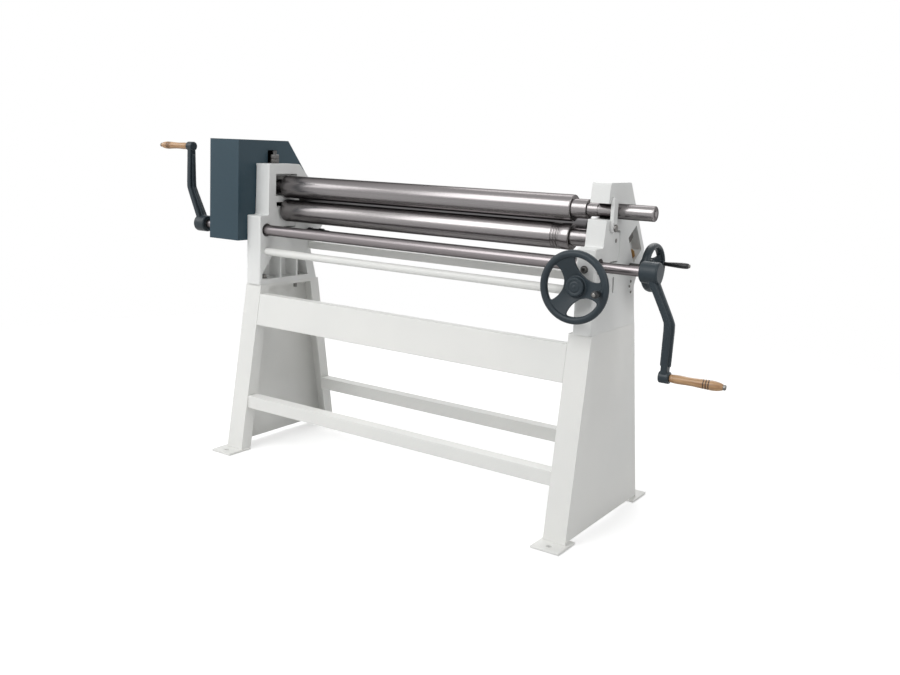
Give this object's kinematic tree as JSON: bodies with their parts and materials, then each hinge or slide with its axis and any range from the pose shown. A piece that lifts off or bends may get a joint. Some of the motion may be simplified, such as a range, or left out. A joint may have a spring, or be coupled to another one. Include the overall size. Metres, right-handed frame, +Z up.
{
  "type": "slip roll machine",
  "caption": "Hand-cranked three-roll bending machine on a folded steel stand, with geared front rolls and handwheels for the lower and the rear roll.",
  "frame": {"origin": "middle of the bounding box, on the floor", "axes": "+Z up, +X along the rolls from the geared end to the free end, +Y from the feed side to the rear"},
  "size_m": [2.5022, 0.711, 1.255],
  "materials": {
    "white_paint": "semi-gloss warm white paint",
    "slate_paint": "semi-gloss slate paint",
    "casting_paint": "dark blue-grey paint on castings",
    "ground_steel": "turned and ground",
    "gear_steel": "machined, oiled",
    "bronze": "machined bronze",
    "grip_wood": "turned and varnished",
    "black_plastic": "moulded"
  },
  "bodies": {
    "base": {"side_frame_left": "white_paint", "side_frame_right": "white_paint", "leg_left": "white_paint", "leg_right": "white_paint", "foot_front_left": "white_paint", "foot_rear_left": "white_paint", "foot_front_right": "white_paint", "foot_rear_right": "white_paint", "front_beam": "white_paint", "front_rail": "white_paint", "rear_rail": "white_paint", "front_tie_rod": "white_paint", "rear_tie_bar": "white_paint", "upper_bearing_left": "gear_steel", "upper_bearing_right": "bronze", "shaft_bush_left": "bronze", "shaft_bush_right": "bronze", "gear_cover": "slate_paint", "adjusting_stud": "ground_steel", "adjusting_nut": "ground_steel", "lock_nut": "ground_steel", "keeper_pin": "ground_steel", "base_bolt_front_left": "ground_steel", "base_bolt_rear_left": "ground_steel", "base_bolt_front_right": "ground_steel", "base_bolt_rear_right": "ground_steel"},
    "lower_carriage": {"lower_bearing_left": "white_paint", "lower_bearing_right": "white_paint"},
    "lower_roll": {"lower_roll": "ground_steel", "lower_roll_gear": "gear_steel"},
    "upper_roll": {"upper_roll": "ground_steel", "upper_roll_gear": "gear_steel", "large_gear": "gear_steel"},
    "drive": {"drive_shaft": "ground_steel", "drive_pinion": "gear_steel", "crank_left": "casting_paint", "crank_right": "casting_paint", "grip_spindle_left": "ground_steel", "grip_spindle_right": "ground_steel"},
    "grip_left": {"grip_left": "grip_wood"},
    "grip_right": {"grip_right": "grip_wood"},
    "rear_carriage": {"rear_bearing_left": "gear_steel", "rear_bearing_right": "gear_steel", "rear_screw_left": "ground_steel", "rear_screw_right": "ground_steel"},
    "rear_roll": {"rear_roll": "ground_steel"},
    "rear_nut_left": {"rear_nut_left": "bronze"},
    "rear_nut_right": {"rear_nut_right": "bronze"},
    "front_wheel": {"front_handwheel": "casting_paint", "front_wheel_shaft": "ground_steel", "front_handle_spindle": "ground_steel"},
    "front_handle": {"front_wheel_handle": "black_plastic"},
    "lift_shaft": {"lift_shaft": "ground_steel", "lift_worm_wheel": "bronze"},
    "side_wheel": {"side_handwheel": "casting_paint", "cross_shaft": "gear_steel", "cross_shaft_clutch": "gear_steel", "side_handle_spindle": "ground_steel"},
    "side_handle": {"side_wheel_handle": "black_plastic"},
    "keeper": {"yoke_keeper": "white_paint"}
  },
  "joints": [
    {"name": "crank_turn", "type": "hinge", "parent": "base", "child": "drive", "pos_m": [0, -0.1565, 0.89666], "axis": [1, 0, 0], "continuous": true},
    {"name": "upper_roll_turn", "type": "hinge", "parent": "base", "child": "upper_roll", "pos_m": [0, -0.0465, 1.07], "axis": [1, 0, 0], "continuous": true},
    {"name": "lower_roll_turn", "type": "hinge", "parent": "lower_carriage", "child": "lower_roll", "pos_m": [0, -0.0465, 0.974], "axis": [1, 0, 0], "continuous": true},
    {"name": "grip_left_turn", "type": "hinge", "parent": "drive", "child": "grip_left", "pos_m": [-1.167, -0.17335, 1.21822], "axis": [1, 0, 0], "continuous": true},
    {"name": "grip_right_turn", "type": "hinge", "parent": "drive", "child": "grip_right", "pos_m": [1.161, -0.13965, 0.5751], "axis": [1, 0, 0], "continuous": true},
    {"name": "front_wheel_turn", "type": "hinge", "parent": "base", "child": "front_wheel", "pos_m": [0.792, -0.2615, 0.838], "axis": [0, 1, 0], "range_deg": [-864, 864]},
    {"name": "front_handle_turn", "type": "hinge", "parent": "front_wheel", "child": "front_handle", "pos_m": [0.88151, -0.2865, 0.82859], "axis": [0, 1, 0], "continuous": true},
    {"name": "lift_shaft_turn", "type": "hinge", "parent": "base", "child": "lift_shaft", "pos_m": [0, -0.0465, 0.886], "axis": [1, 0, 0], "range_deg": [-36.1, 36.1]},
    {"name": "lower_roll_lift", "type": "slide", "parent": "base", "child": "lower_carriage", "axis": [0, 0, 1], "range_m": [-0.004, 0.004]},
    {"name": "side_wheel_turn", "type": "hinge", "parent": "base", "child": "side_wheel", "pos_m": [0.914, 0.08538, 0.88396], "axis": [-1, 0, 0], "range_deg": [-720, 3600]},
    {"name": "side_handle_turn", "type": "hinge", "parent": "side_wheel", "child": "side_handle", "pos_m": [0.966, 0.14875, 0.89287], "axis": [1, 0, 0], "continuous": true},
    {"name": "rear_nut_left_turn", "type": "hinge", "parent": "base", "child": "rear_nut_left", "pos_m": [-0.6665, 0.13067, 0.91337], "axis": [0, -0.5446, 0.8387], "range_deg": [-721, 3601]},
    {"name": "rear_nut_right_turn", "type": "hinge", "parent": "base", "child": "rear_nut_right", "pos_m": [0.796, 0.13067, 0.91337], "axis": [0, -0.5446, 0.8387], "range_deg": [-721, 3601]},
    {"name": "rear_roll_lift", "type": "slide", "parent": "base", "child": "rear_carriage", "axis": [0, -0.5446, 0.8387], "range_m": [-0.012, 0.06]},
    {"name": "rear_roll_turn", "type": "hinge", "parent": "rear_carriage", "child": "rear_roll", "pos_m": [0, 0.0835, 0.986], "axis": [1, 0, 0], "continuous": true},
    {"name": "keeper_swing", "type": "hinge", "parent": "base", "child": "keeper", "pos_m": [0.835, -0.0885, 1.018], "axis": [1, 0, 0], "range_deg": [0, 110]}
  ],
  "couplings": [
    {"joint": "upper_roll_turn", "follows": "crank_turn", "ratio": -0.20588},
    {"joint": "lower_roll_turn", "follows": "crank_turn", "ratio": 0.20588},
    {"joint": "lift_shaft_turn", "follows": "front_wheel_turn", "ratio": 0.041667},
    {"joint": "lower_roll_lift", "follows": "front_wheel_turn", "m_per_rad": 0.00026525},
    {"joint": "rear_nut_left_turn", "follows": "side_wheel_turn", "ratio": 1},
    {"joint": "rear_nut_right_turn", "follows": "side_wheel_turn", "ratio": 1},
    {"joint": "rear_roll_lift", "follows": "side_wheel_turn", "m_per_rad": 0.0009549}
  ]
}
